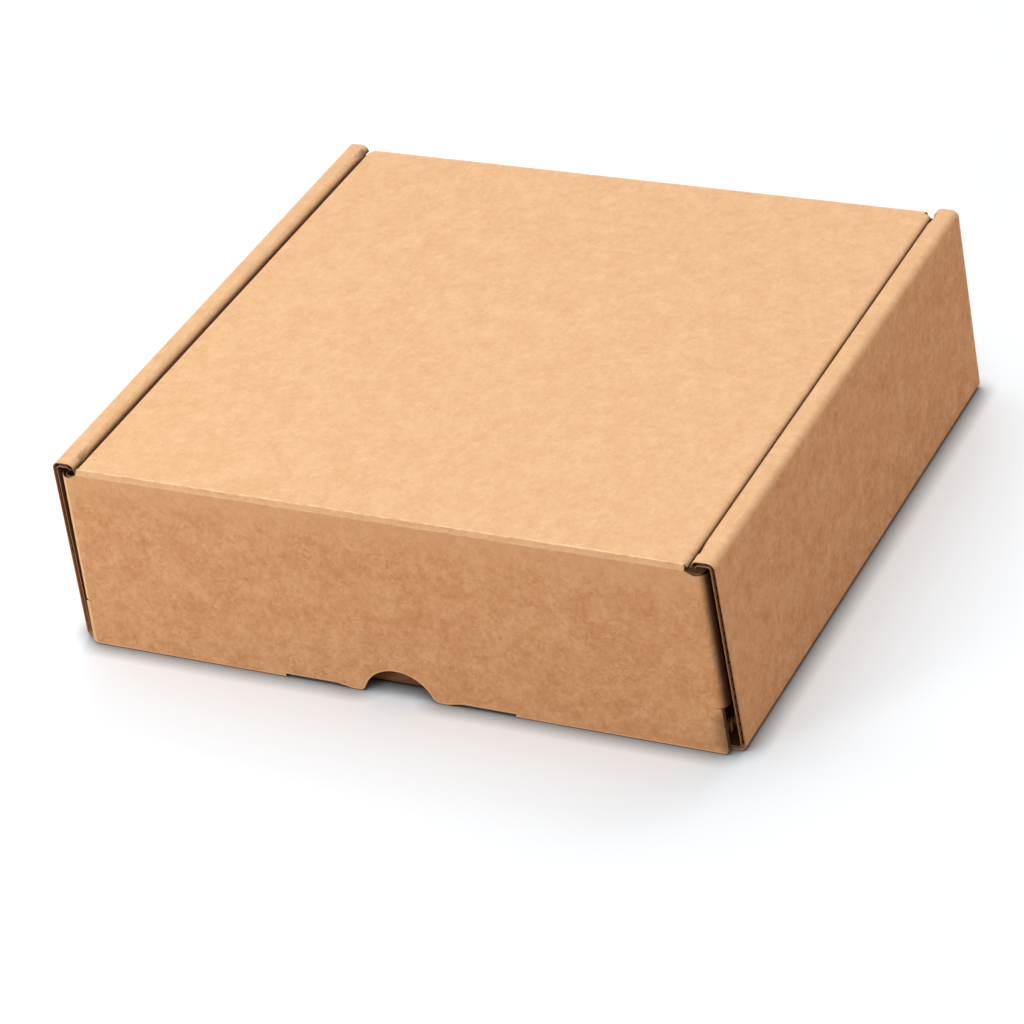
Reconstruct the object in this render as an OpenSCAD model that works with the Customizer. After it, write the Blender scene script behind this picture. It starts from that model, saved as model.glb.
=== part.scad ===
// Closed mailing box, folded from one die-cut sheet of thin corrugated board.
// The side walls are rolled over into double walls, the lid hinges on the back wall, and its
// front flap tucks its two ears into the slots beside the front wall.
// The origin is the middle of the box on the floor: X runs to the right, Y to the back and Z up.
// The front flap is drawn shut.

/* [Box] */
// Width across the side walls, at the floor
box_w = 216; // [150:1:320]
// Depth from the front crease of the lid to the back wall, over the folds
box_d = 192.2; // [150:0.1:300]
// Height to the top of the rolled side walls
box_h = 63.7; // [50:0.1:110]
// How far the lid lies below the rolled side walls
lid_drop = 0.85; // [0.3:0.05:1.5]

/* [Board] */
// Thickness of the corrugated board
board_t = 1.5; // [1.2:0.1:2]
// Inner radius of a plain fold
fold_r = 0.5; // [0.3:0.1:0.8]
// Inner radius of the two folds at the top of a rolled side wall
roll_r = 0.8; // [0.5:0.1:1]
// Clear space between two folded layers
layer_gap = 0.2; // [0.15:0.05:0.3]
// Clear space at the ends and edges of the panels that meet inside
edge_gap = 0.5; // [0.3:0.1:1]

/* [Side walls] */
// Inward lean of the outer side walls, in degrees
side_lean = 2; // [0:0.5:3]
// How far the front ends of the side walls stand behind the front flap
side_setback = 1.6; // [1.6:0.1:3]
// Length of a locking tab
tab_len = 26; // [15:1:40]
// Distance of a tab's middle from the middle of the inner wall
tab_place = 46; // [30:1:50]
// How far each end of a tab narrows towards its tip
tab_taper = 1; // [0.5:0.1:1.5]

/* [Corner flaps] */
// Length of the corner flaps inside the side walls
corner_len = 44; // [30:1:55]
// Height of their lower edge above the floor
corner_low = 4; // [3:0.5:8]
// How far their free end narrows at the top and at the bottom
corner_taper = 6; // [3:0.5:9]

/* [Lid] */
// Depth of the wings that tuck in beside the rolled walls
wing_depth = 34; // [20:1:38]
// Slant of a wing's front and back ends
wing_taper = 9; // [4:1:14]
// Clear space between a wing and the inner wall
wing_gap = 0.7; // [0.3:0.1:1]
// Length of the cut between the lid's wings and its front crease
wing_relief = 4.6; // [4.2:0.1:7]

/* [Front flap] */
// Forward lean of the front flap, in degrees
flap_lean = 1.2; // [0:0.1:2]
// Height of the flap's lower edge above the floor
flap_low = 0.3; // [0.2:0.1:1]
// Clear space between the flap and the front wall
flap_gap = 0.3; // [0.2:0.05:0.6]
// How far a raw side edge stands in from the folds beside it
edge_step = 0.6; // [0.3:0.1:1]

/* [Ears] */
// Reach of an ear into the side wall
ear_len = 27; // [15:1:35]
// Height of an ear's lower edge above the floor
ear_low = 15.8; // [12:0.1:20]
// How far the ears and the corner flaps end below the top of the front wall
ear_drop = 1; // [0.5:0.1:2]
// How far an ear's free end narrows at the top and at the bottom
ear_taper = 5; // [2:0.5:7]
// Clear space between an ear and the outer wall
ear_gap = 1; // [0.4:0.1:1.5]

/* [Thumb notch] */
// Width of the thumb notch at the flap's lower edge
notch_w = 23.2; // [18:0.2:30]
// Height of the thumb notch
notch_h = 8.8; // [6:0.1:11]
// Radius of the rounded corners where the notch meets the edge
notch_lip_r = 2; // [1:0.1:3]
// Length of the straight edge on each side of the notch
lobe_run = 2.5; // [1:0.1:5]
// Run of the slope from there up to the recess
recess_slope = 5; // [3:0.5:8]
// Length of the recess from the top of that slope
recess_len = 17.2; // [10:0.1:25]
// Height of the recess
recess_h = 1; // [0.5:0.1:1.5]

/* [Hidden] */
$fn = 48;

kraft_lid = "#E3B384";
kraft_front = "#C08D60";
kraft_side = "#A97B54";
kraft_inside = "#B98A5E";

// A small reach past a face, for clean cuts
over = 1;
// Depth of the strip of base that is drawn with each wall's fold
crease_strip = 2;
fold_out = fold_r + board_t;
roll_out = roll_r + board_t;

// Heights
lid_top = box_h - lid_drop;
lid_under = lid_top - board_t;
roll_z = box_h - roll_out;
wall_top = lid_under - edge_gap;
ear_top = wall_top - ear_drop;
foot_z = board_t + layer_gap;

// The outer face of a side wall is the plane x * cos(side_lean) + z * sin(side_lean) = wall_plane
side_crease = box_w / 2 - fold_out;
wall_plane = side_crease * cos(side_lean) + fold_out * sin(side_lean) + fold_out;
// X at height z of a plane that lies the given depth inside that face
function wall_x(z, depth = 0) = (wall_plane - depth - z * sin(side_lean)) / cos(side_lean);

// Outer faces of the layers beside the ear, from the outside in, cut to a hundredth of a millimetre
function hundredths(v) = round(v * 100) / 100;
ear_depth = board_t + ear_gap;
corner_x = hundredths(wall_x(ear_top, ear_depth + board_t) - layer_gap);
inner_x = corner_x - board_t - layer_gap;
lid_x = inner_x - board_t - wing_gap;

// Flat runs of a rolled side wall, between its folds
outer_run = (roll_z - fold_out + (roll_out - fold_out) * sin(side_lean)) / cos(side_lean);
roll_run = wall_x(roll_z, roll_out) - (inner_x + roll_r);
inner_run = roll_z - foot_z;
tab_run = foot_z - layer_gap;

// Places along Y
flap_y = -box_d / 2;
front_y = flap_y + board_t + flap_gap;
back_y = box_d / 2;
side_front = flap_y + side_setback;
inner_front = front_y + fold_out + edge_gap;
inner_back = back_y - fold_out - edge_gap;
inner_mid = (inner_front + inner_back) / 2;

// The crease between the lid and the front flap
crease_turn = 90 - flap_lean;
crease_y = flap_y + fold_out;
crease_z = lid_top - fold_out;
flap_run = (crease_z + fold_out * sin(flap_lean) - flap_low) / cos(flap_lean);

// Flat sizes of the upright and lid panels
wall_half = corner_x - fold_out;
lid_half = lid_x - fold_out;
lid_run = back_y - fold_out - crease_y;
crease_half = lid_x - edge_step;

// The ears' creases run beside the side walls. Their middle is given by its distance down the
// front flap, and the strip of flap beside each crease overlaps the flap's middle.
ear_height = hundredths((ear_top - ear_low) / cos(side_lean));
ear_mid = crease_z - (ear_top + ear_low) / 2;
ear_crease_y = wall_x(crease_z - ear_mid, ear_depth + fold_out);
ear_strip = 12;

// Thumb notch as an arc through its two ends and its top. Its middle lies notch_x below the flap's
// edge, and the lips end lip_end away from the middle.
notch_r = (pow(notch_w / 2, 2) + pow(notch_h, 2)) / (2 * notch_h);
notch_x = notch_r - notch_h;
lip_end = sqrt(pow(notch_r + notch_lip_r, 2) - pow(notch_x + notch_lip_r, 2));

// Sheet-folding tools: the board lies on Z = 0 with its inner side up, and the edge that is
// worked on runs along Y at X = 0. What follows a panel or a fold is drawn past it.

// A rectangular stretch of board, centred on Y = mid
module panel(run, length, mid = 0) {
    translate([0, mid - length / 2, 0])
        cube([run, length, board_t]);
    translate([run, 0, 0])
        children();
}

// A stretch of board with an outline of its own
module cut_panel() {
    linear_extrude(board_t)
        children();
}

// Moves what follows round a fold that turns it up by the given angle
module past_fold(turn, r = fold_r) {
    translate([0, 0, r + board_t])
        rotate([0, -turn, 0])
            translate([0, 0, -r - board_t])
                children();
}

// A narrow strip of the sheet before a fold, in the fold's own place, so that the two always meet
module strip_before(length, mid = 0) {
    translate([-crease_strip, mid - length / 2, 0])
        cube([crease_strip, length, board_t]);
}

// A rounded fold, centred on Y = mid
module fold(turn, length, r = fold_r, mid = 0) {
    translate([0, mid + length / 2, r + board_t])
        rotate([90, 0, 0])
            rotate([0, 0, -90])
                rotate_extrude(angle = turn)
                    translate([r, 0])
                        square([board_t, length]);
    past_fold(turn, r)
        children();
}

module left_and_right() {
    children();
    mirror([1, 0, 0])
        children();
}

module both_ends() {
    children();
    mirror([0, 1, 0])
        children();
}

// A flap outline that starts `width` wide at X = 0 and narrows to both sides over its length
module tapered(length, width, taper) {
    polygon([
        [0, -width / 2],
        [length - taper, -width / 2],
        [length, -width / 2 + taper],
        [length, width / 2 - taper],
        [length - taper, width / 2],
        [0, width / 2]
    ]);
}

// Places along Y of the locking tabs of one side wall
tab_mids = [inner_mid - tab_place, inner_mid + tab_place];

// Slots in the base that take the tabs of the right-hand inner wall
module tab_slots() {
    for (y = tab_mids)
        translate([inner_x - board_t - layer_gap, y - tab_len / 2 - layer_gap, -over])
            cube([board_t + 2 * layer_gap, tab_len + 2 * layer_gap, board_t + 2 * over]);
}

// The base, with slits that part the side walls' creases from those of the front and back walls
module base() {
    slit_x = wall_half + edge_gap;
    fold_front = front_y + fold_out;
    fold_back = back_y - fold_out;
    color(kraft_side)
        difference() {
            union() {
                translate([-side_crease, fold_front, 0])
                    cube([2 * side_crease, fold_back - fold_front, board_t]);
                left_and_right()
                    translate([slit_x, side_front, 0])
                        cube([side_crease - slit_x, back_y - side_front, board_t]);
            }
            left_and_right()
                tab_slots();
        }
}

module locking_tab() {
    cut_panel()
        polygon([
            [0, -tab_len / 2],
            [tab_run, -tab_len / 2 + tab_taper],
            [tab_run, tab_len / 2 - tab_taper],
            [0, tab_len / 2]
        ]);
}

// The right-hand side wall: up from the base, over the rolled top and down inside to the tabs
module side_wall() {
    length = back_y - side_front;
    mid = (back_y + side_front) / 2;
    color(kraft_side)
        translate([side_crease, 0, 0]) {
            strip_before(length, mid);
            fold(90 + side_lean, length, mid = mid)
                panel(outer_run, length, mid)
                    fold(90 - side_lean, length, roll_r, mid)
                        panel(roll_run, length, mid)
                            fold(90, length, roll_r, mid)
                                panel(inner_run, inner_back - inner_front, inner_mid)
                                    for (y = tab_mids)
                                        translate([0, y, 0])
                                            locking_tab();
        }
}

// The corner flap at one end of an upright wall whose flat part starts at height fold_out
module corner_flap() {
    height = ear_top - corner_low;
    translate([corner_low - fold_out + height / 2, wall_half, 0])
        rotate([0, 0, 90])
            fold(90, height)
                cut_panel()
                    tapered(corner_len, height, corner_taper);
}

module front_wall() {
    color(kraft_inside)
        translate([0, front_y + fold_out, 0])
            rotate([0, 0, -90]) {
                strip_before(2 * wall_half);
                fold(90, 2 * wall_half) {
                    panel(wall_top - fold_out, 2 * wall_half);
                    both_ends()
                        corner_flap();
                }
            }
}

// The board frame at the back edge of the base
module at_back() {
    translate([0, back_y - fold_out, 0])
        rotate([0, 0, 90])
            children();
}

module back_wall() {
    color(kraft_side)
        at_back() {
            strip_before(2 * wall_half);
            fold(90, 2 * wall_half) {
                panel(ear_top - fold_out, 2 * wall_half);
                panel(lid_top - 2 * fold_out, 2 * lid_half);
                both_ends()
                    corner_flap();
            }
        }
}

// The board frame at the top of the back wall, where the lid is folded over
module at_lid_fold() {
    at_back()
        past_fold(90)
            translate([lid_top - 2 * fold_out, 0, 0])
                children();
}

// The board frame at the lid's front end, where the front flap is folded down
module at_crease() {
    at_lid_fold()
        past_fold(90)
            translate([lid_run, 0, 0])
                children();
}

// A wing of the lid, folded down inside the rolled wall
module lid_wing() {
    length = lid_run - wing_relief - edge_gap;
    translate([-wing_relief - length / 2, lid_half, 0])
        rotate([0, 0, 90])
            fold(90, length)
                cut_panel()
                    tapered(wing_depth, length, wing_taper);
}

// The lid with both its wings, its fold to the back wall and half of its front crease
module lid() {
    color(kraft_lid)
        at_lid_fold()
            fold(90, 2 * lid_half)
                panel(lid_run, 2 * lid_half) {
                    translate([-wing_relief, 0, 0])
                        panel(wing_relief, 2 * crease_half);
                    fold(crease_turn / 2, 2 * crease_half);
                    both_ends()
                        lid_wing();
                }
}

// Rounds the corner where the thumb notch meets the lower edge
module notch_lip() {
    difference() {
        polygon([[notch_x, 0], [-notch_lip_r, lip_end], [notch_x, lip_end]]);
        translate([-notch_lip_r, lip_end])
            circle(notch_lip_r);
    }
}

// The shallow recess on one side of the notch, which keeps the flap's edge off the floor
module recess() {
    slope_start = lip_end + lobe_run;
    slope_end = slope_start + recess_slope;
    polygon([
        [over, slope_start],
        [0, slope_start],
        [-recess_h, slope_end],
        [-recess_h, slope_end + recess_len],
        [over, slope_end + recess_len]
    ]);
}

// The frame in the middle of an ear's crease, with X pointing away from the flap's middle
module at_ear_crease() {
    translate([ear_mid, ear_crease_y, 0])
        rotate([0, 0, 90 + side_lean])
            children();
}

// The strip of flap beside the ear, and past the ear's lower end its raw edge
module flap_side() {
    raw_x = fold_out - edge_step;
    intersection() {
        at_ear_crease()
            cut_panel()
                polygon([
                    [-ear_strip, ear_height / 2],
                    [0, ear_height / 2],
                    [0, -ear_height / 2],
                    [raw_x, -ear_height / 2],
                    [raw_x, -flap_run],
                    [-ear_strip, -flap_run]
                ]);
        translate([0, 0, -over])
            cube([flap_run, box_w / 2, board_t + 2 * over]);
    }
}

// The flap's middle: X runs down from the crease
module flap_outline() {
    difference() {
        translate([0, -crease_half])
            square([flap_run, 2 * crease_half]);
        translate([flap_run + notch_x, 0])
            circle(notch_r);
        translate([flap_run, 0])
            both_ends() {
                notch_lip();
                recess();
            }
    }
}

// An ear, folded back from the leaning side of the flap
module ear() {
    at_ear_crease()
        fold(90, ear_height)
            cut_panel()
                tapered(ear_len, ear_height, ear_taper);
}

// The front flap with its ears and its own half of the crease, drawn back from the panel
module front_flap() {
    color(kraft_front)
        at_crease()
            past_fold(crease_turn) {
                mirror([1, 0, 0])
                    fold(crease_turn / 2, 2 * crease_half);
                cut_panel()
                    flap_outline();
                both_ends() {
                    flap_side();
                    ear();
                }
            }
}

module box() {
    base();
    left_and_right()
        side_wall();
    front_wall();
    back_wall();
    lid();
}

box();
front_flap();
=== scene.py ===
"""A closed mailing box of thin corrugated board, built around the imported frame.

The board is made as the sheet it is: two paper liners over a fluted core, cut to one outline and
folded panel by panel. A point of the flat sheet has X across the box, Y from the front wall over
the base, the back wall and the lid to the front flap, and a depth from its outer face.
All sizes are in metres, in the frame's axes.
"""

import math

import bpy
import numpy as np
from mathutils import Matrix, Vector
from mathutils.geometry import delaunay_2d_cdt


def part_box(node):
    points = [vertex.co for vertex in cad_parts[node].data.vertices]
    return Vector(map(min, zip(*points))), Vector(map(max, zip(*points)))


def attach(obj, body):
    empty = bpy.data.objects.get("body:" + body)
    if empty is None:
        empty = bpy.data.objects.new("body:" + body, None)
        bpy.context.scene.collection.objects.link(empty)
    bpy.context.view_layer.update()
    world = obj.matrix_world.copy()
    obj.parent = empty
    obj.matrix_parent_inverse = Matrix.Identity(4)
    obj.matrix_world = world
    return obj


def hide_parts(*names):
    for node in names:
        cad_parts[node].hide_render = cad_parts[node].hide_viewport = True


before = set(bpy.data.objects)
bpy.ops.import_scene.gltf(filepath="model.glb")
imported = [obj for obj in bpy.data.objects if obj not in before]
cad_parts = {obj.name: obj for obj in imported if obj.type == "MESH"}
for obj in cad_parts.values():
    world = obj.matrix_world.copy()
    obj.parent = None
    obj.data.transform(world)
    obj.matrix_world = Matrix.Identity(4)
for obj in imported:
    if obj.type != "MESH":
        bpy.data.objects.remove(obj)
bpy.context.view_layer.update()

MM = 0.001
TINY = 1e-7
QUARTER = math.pi / 2

# The board, as in the frame
BOARD = 1.5 * MM
FOLD_R = 0.5 * MM
ROLL_R = 0.8 * MM
LAYER_GAP = 0.2 * MM
EDGE_GAP = 0.5 * MM
EAR_GAP = 1 * MM
WING_GAP = 0.7 * MM
EDGE_STEP = 0.6 * MM
SIDE_LEAN = math.radians(2)
FLAP_LEAN = math.radians(1.2)
FOLD_OUT = FOLD_R + BOARD
ROLL_OUT = ROLL_R + BOARD

# Places that the frame gives, to a hundredth of a millimetre
_, box_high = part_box("box")
HALF_WIDTH = round(box_high.x, 5)
BACK = round(box_high.y, 5)
FRONT = -BACK
TOP = round(box_high.z, 5)

# Heights
LID_DROP = 0.85 * MM
LID_TOP = TOP - LID_DROP
LID_UNDER = LID_TOP - BOARD
ROLL_Z = TOP - ROLL_OUT
WALL_TOP = LID_UNDER - EDGE_GAP
EAR_DROP = 1 * MM
EAR_TOP = WALL_TOP - EAR_DROP
FOOT_Z = BOARD + LAYER_GAP
CORNER_LOW = 4 * MM
EAR_LOW = 15.8 * MM
FLAP_EDGE_Z = 0.3 * MM

# Places across the box
SIDE_CREASE = HALF_WIDTH - FOLD_OUT
WALL_PLANE = SIDE_CREASE * math.cos(SIDE_LEAN) + FOLD_OUT * math.sin(SIDE_LEAN) + FOLD_OUT


def wall_x(z, depth=0.0):
    """X at height z of a plane that lies the given depth inside a side wall's outer face."""
    return (WALL_PLANE - depth - z * math.sin(SIDE_LEAN)) / math.cos(SIDE_LEAN)


EAR_DEPTH = BOARD + EAR_GAP
CORNER_X = round(wall_x(EAR_TOP, EAR_DEPTH + BOARD) - LAYER_GAP, 5)
INNER_X = CORNER_X - BOARD - LAYER_GAP
LID_X = INNER_X - BOARD - WING_GAP
WALL_HALF = CORNER_X - FOLD_OUT
LID_HALF = LID_X - FOLD_OUT
CREASE_HALF = LID_X - EDGE_STEP
SLIT_X = WALL_HALF + EDGE_GAP
SLOT_HALF = BOARD / 2 + LAYER_GAP
SLOT_X = INNER_X - BOARD / 2

# Places along the box
FLAP_CLEAR = 2.4 * MM
SIDE_SETBACK = 1.6 * MM
FRONT_WALL_Y = FRONT + BOARD + FLAP_CLEAR
BASE_FRONT = FRONT_WALL_Y + FOLD_OUT
BASE_BACK = BACK - FOLD_OUT
SIDE_FRONT = FRONT + SIDE_SETBACK
INNER_FRONT = BASE_FRONT + EDGE_GAP
INNER_BACK = BASE_BACK - EDGE_GAP
INNER_MID = (INNER_FRONT + INNER_BACK) / 2

# Loose ends of the sheet, the round corners of the front flap and the width of a plain cut
CORNER_LEN, CORNER_TAPER = 44 * MM, 6 * MM
WING_DEPTH, WING_TAPER, WING_RELIEF = 34 * MM, 9 * MM, 4.6 * MM
EAR_LEN, EAR_TAPER = 27 * MM, 5 * MM
TAB_LEN, TAB_PLACE, TAB_TAPER = 26 * MM, 46 * MM, 1 * MM
FLAP_CORNER_R = 1.5 * MM
CUT = 0.1 * MM

# Thumb notch with its round lips, and the slope and the shallow recess beside each lip
NOTCH_W, NOTCH_H, LIP_R = 23.2 * MM, 8.8 * MM, 2 * MM
LOBE_RUN, SLOPE_RUN, RECESS_RUN, RECESS_H = 2.5 * MM, 5 * MM, 17.2 * MM, 1 * MM
NOTCH_R = ((NOTCH_W / 2) ** 2 + NOTCH_H**2) / (2 * NOTCH_H)
NOTCH_X = NOTCH_R - NOTCH_H
LIP_END = math.sqrt((NOTCH_R + LIP_R) ** 2 - (NOTCH_X + LIP_R) ** 2)
LOBE_END = LIP_END + LOBE_RUN
SLOPE_END = LOBE_END + SLOPE_RUN
RECESS_END = SLOPE_END + RECESS_RUN

# The layers of the board and its flutes. The core shows a little way inside each cut.
LINER = 0.24 * MM
MEDIUM = 0.2 * MM
FLUTE = 3.1 * MM
FLUTE_STEPS = 7
CORE_PLAY = 0.01 * MM
CORE_SET_BACK = 0.9 * MM
CORE_REACH = 3 * MM

# Least radius at which a fold uses up the flat sheet, however tight it is
SHEET_RADIUS = 0.8 * MM

# The mesh: its steps on plain panels and on the flap, and how many rows cross a fold, the base
# and an ear
PANEL_STEP = 6 * MM
FLAP_STEP = 3 * MM
FOLD_ROWS = 8
BASE_ROWS = 31
EAR_ROWS = 9
# Its rows beside the front crease, the front wall's ends and the flap's lower edge
CREASE_ROWS = np.array([0.5, 1, 1.5, 2, 3, 4]) * MM
WALL_END_ROWS = np.array([2, 4, 6]) * MM
FLAP_EDGE_ROWS = np.array([1.5, 3]) * MM
# Its least distances: between two rows, from an edge to a free point, and from an ear's crease
ROW_GAP = 0.04 * MM
EDGE_CLEAR = 0.12 * MM
EAR_CLEAR = 0.5 * MM
# Points on the flap's round corners, lips and notch
CORNER_POINTS, LIP_POINTS, NOTCH_POINTS = 6, 8, 20
# Angle between two faces from which their edge looks sharp
SHARP = math.radians(35)


class Chain:
    """Panels and folds one after the other: a number is a run, a pair a turn and its outer radius."""

    def __init__(self, steps):
        self.parts = []
        self.marks = [0.0]
        place, angle = np.zeros(2), 0.0
        for step in steps:
            turn, out = step if isinstance(step, tuple) else (0.0, 0.0)
            length = turn * max(out - BOARD / 2, SHEET_RADIUS) if turn else step
            self.parts.append((self.marks[-1], turn, out, place, angle))
            move = (out * math.sin(turn), out * (1 - math.cos(turn))) if turn else (length, 0.0)
            place = place + self.turned(np.array(move), angle)
            angle += turn
            self.marks.append(self.marks[-1] + length)

    @staticmethod
    def turned(move, angle):
        """A move, or a row of moves, turned by the angle."""
        c, s = math.cos(angle), math.sin(angle)
        return np.stack([c * move[0] - s * move[1], s * move[0] + c * move[1]])

    def at(self, run, depth):
        """Distance out and up of sheet points, from their run along the sheet and their depth."""
        run, depth = np.broadcast_arrays(np.asarray(run, float), np.asarray(depth, float))
        result = np.zeros((2,) + run.shape)
        last = len(self.parts) - 1
        for i, (start, turn, out, place, angle) in enumerate(self.parts):
            here = (run >= start) if i else np.ones(run.shape, bool)
            if i < last:
                here &= run < self.marks[i + 1]
            local = run[here] - start
            if turn:
                a = local * turn / (self.marks[i + 1] - start)
                r = out - depth[here]
                move = np.stack([r * np.sin(a), out - r * np.cos(a)])
            else:
                move = np.stack([local, depth[here]])
            result[:, here] = place[:, None] + self.turned(move, angle)
        return result


side_chain = Chain(
    [
        (QUARTER + SIDE_LEAN, FOLD_OUT),
        (ROLL_Z - FOLD_OUT + (ROLL_OUT - FOLD_OUT) * math.sin(SIDE_LEAN)) / math.cos(SIDE_LEAN),
        (QUARTER - SIDE_LEAN, ROLL_OUT),
        wall_x(ROLL_Z, ROLL_OUT) - (INNER_X + ROLL_R),
        (QUARTER, ROLL_OUT),
        ROLL_Z - FOOT_Z,
    ]
)
front_chain = Chain([(QUARTER, FOLD_OUT), WALL_TOP - FOLD_OUT])
loose_chain = Chain([(QUARTER, FOLD_OUT), CORNER_LEN])

# The front crease is pressed thin, so it has two small folds with a narrow flat band between.
# The press fades out beside the band, and the crease wanders a little in waves of three lengths.
CREASE_OUT = 0.45 * MM
CREASE_BAND = 1.4 * MM
CREASE_THIN = 0.7
CREASE_FADE = 2 * MM
WANDER = 0.09 * MM
WANDER_HALF = 1.6 * MM
WANDER_WAVES = ((0.3, 4.1 * MM, 0), (0.3, 1.7 * MM, 1), (0.4, 0.8 * MM, 2))
CREASE_TURN = math.radians(60)
CREASE_REACH = CREASE_OUT + CREASE_BAND * math.cos(CREASE_TURN)
LID_RUN = BACK - FOLD_OUT - (FRONT + CREASE_REACH)
FLAP_TOP = LID_TOP - CREASE_OUT * (1 - math.sin(FLAP_LEAN)) - CREASE_BAND * math.sin(CREASE_TURN)
FLAP_RUN = (FLAP_TOP - FLAP_EDGE_Z) / math.cos(FLAP_LEAN)
cover_chain = Chain(
    [
        (QUARTER, FOLD_OUT),
        LID_TOP - 2 * FOLD_OUT,
        (QUARTER, FOLD_OUT),
        LID_RUN,
        (CREASE_TURN, CREASE_OUT),
        CREASE_BAND,
        (QUARTER - FLAP_LEAN - CREASE_TURN, CREASE_OUT),
        FLAP_RUN,
    ]
)
FOLD_LEN = loose_chain.marks[1]
LID_START, LID_END, _, _, FLAP_START, FLAP_END = cover_chain.marks[3:]
CREASE_MID = (LID_END + FLAP_START) / 2
RELIEF = LID_END - (FOLD_OUT - CREASE_REACH) - WING_RELIEF
# In front of the wings the lid keeps this part of their fold, up to the crease
EDGE_PART = 0.8
EDGE_END = LID_END - CUT

# An ear turns in a wider curve than the other folds. Its crease leans with the side wall, and its
# middle is given down and across the front flap. Below it the flap ends at a raw edge.
EAR_OUT = 3.5 * MM
ear_chain = Chain([(QUARTER, EAR_OUT), FOLD_OUT + EAR_LEN - EAR_OUT])
EAR_HEIGHT = round((EAR_TOP - EAR_LOW) / math.cos(SIDE_LEAN), 5)
EAR_MID = FLAP_TOP - FOLD_OUT * math.sin(FLAP_LEAN) - (EAR_TOP + EAR_LOW) / 2
EAR_CREASE = wall_x((EAR_TOP + EAR_LOW) / 2, EAR_DEPTH + EAR_OUT)
EAR_AXES = np.array(
    [
        [-math.sin(SIDE_LEAN), math.cos(SIDE_LEAN)],
        [-math.cos(SIDE_LEAN), -math.sin(SIDE_LEAN)],
    ]
)
RAW_X = 2 * MM


def sideways(x, depth, half):
    """Folds what lies more than half to the left or right up to a loose end of the sheet."""
    out, up = loose_chain.at(np.maximum(np.abs(x) - half, 0), depth)
    return np.sign(x) * (np.minimum(np.abs(x), half) + out), up


def pressed(x, y, depth):
    """Presses the board thin at the front crease, a little unevenly, as its flutes give way."""
    from_mid = y - BASE_BACK - CREASE_MID
    beside = np.clip((np.abs(from_mid) - (FLAP_START - LID_END) / 2) / CREASE_FADE, 0, 1)
    depth = depth * (1 - CREASE_THIN * (1 + np.cos(math.pi * beside)) / 2)
    waves = sum(part * np.sin(x / length + shift) for part, length, shift in WANDER_WAVES)
    return depth + WANDER * np.exp(-((from_mid / WANDER_HALF) ** 2)) * waves


def fold_carton(x, y, depth):
    """Places points of the flat sheet on the folded carton."""
    x, y, depth = (np.array(a, float) for a in np.broadcast_arrays(x, y, depth))
    depth = pressed(x, y, depth)
    result = np.zeros(x.shape + (3,))
    corner = (np.abs(x) > SLIT_X - TINY) & (y > SIDE_FRONT - TINY) & (y < BACK + TINY)
    side = corner | ((y >= BASE_FRONT) & (y <= BASE_BACK))
    front = ~side & (y < BASE_FRONT)
    cover = ~side & (y > BASE_BACK)

    out, up = side_chain.at(np.maximum(np.abs(x[side]) - SIDE_CREASE, 0), depth[side])
    across = np.sign(x[side]) * (np.minimum(np.abs(x[side]), SIDE_CREASE) + out)
    result[side] = np.stack([across, y[side], up], -1)

    across, up = sideways(x[front], depth[front], WALL_HALF)
    out, up = front_chain.at(BASE_FRONT - y[front], up)
    result[front] = np.stack([across, BASE_FRONT - out, up], -1)

    run = y[cover] - BASE_BACK
    half = np.where(run < EAR_TOP - FOLD_OUT + FOLD_LEN + TINY, WALL_HALF, LID_HALF)
    half = np.where(run > EDGE_END + CUT / 2, HALF_WIDTH, half)
    across, up = sideways(x[cover], depth[cover], half)
    out, up = cover_chain.at(run, up)
    result[cover] = np.stack([across, BASE_BACK + out, up], -1)
    return result


def ear_place(a, b):
    """Down and across the front flap, from the distance past the ear's crease and along it."""
    return np.array([EAR_MID, EAR_CREASE]) + a * EAR_AXES[0] + b * EAR_AXES[1]


def fold_flap(x, y, depth):
    """Places points of the flat sheet on the closed front flap."""
    x, y, depth = (np.array(a, float) for a in np.broadcast_arrays(x, y, depth))
    depth = pressed(x, y, depth)
    down, across = y - BASE_BACK - FLAP_START, np.abs(x)
    offset = np.stack([down - EAR_MID, across - EAR_CREASE])
    a, b = np.einsum("ij,j...->i...", EAR_AXES, offset)
    ear = (a > 0) & (np.abs(b) < EAR_HEIGHT / 2 + CUT / 2)
    out, up = ear_chain.at(a[ear], depth[ear])
    moved = np.array([[EAR_MID], [EAR_CREASE]]) + EAR_AXES.T @ np.stack([out, b[ear]])
    down[ear], across[ear], depth[ear] = moved[0], moved[1], up
    out, up = cover_chain.at(down + FLAP_START, depth)
    return np.stack([np.sign(x) * across, BASE_BACK + out, up], -1)


def ramp(value, start, length):
    """Rises smoothly from 0 at the start to 1 past the length."""
    t = np.clip((value - start) / length, 0, 1)
    return t * t * (3 - 2 * t)


# Strength of the painted shade in slots, folds and at the front wall's foot, from 0 to 1. The left
# slot is the paler one, and the front wall's painted shade fades a little way up from the floor,
# because it comes into the light when the flap opens.
SLOT_DARK = 0.84
LEFT_DARK = 0.8
FOOT_DARK = 0.74
LEFT_FOLD_DARK = 0.7
WALL_FADE = 0.7
EAR_FADE = 0.85
# Where the painted shade or its fading starts, and over what length it grows
SLOT_RAMP = (side_chain.marks[5] - 1.2 * MM, 1 * MM)
LOOSE_START, LOOSE_LEN = 0.45 * FOLD_LEN, 1 * MM
WALL_END_RAMP = (WALL_HALF - 5 * MM, 3 * MM)
FOOT_RAMP = (9 * MM, 8 * MM)
CORNER_RAMP = (17 * MM, 8 * MM)
RIGHT_FOLD_RAMP = (0.7 * MM, 2.3 * MM)
LEFT_FOLD_RAMP = (2.4 * MM, 1.6 * MM)
EAR_RAMP = (ear_chain.marks[1], 4 * MM)


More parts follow.
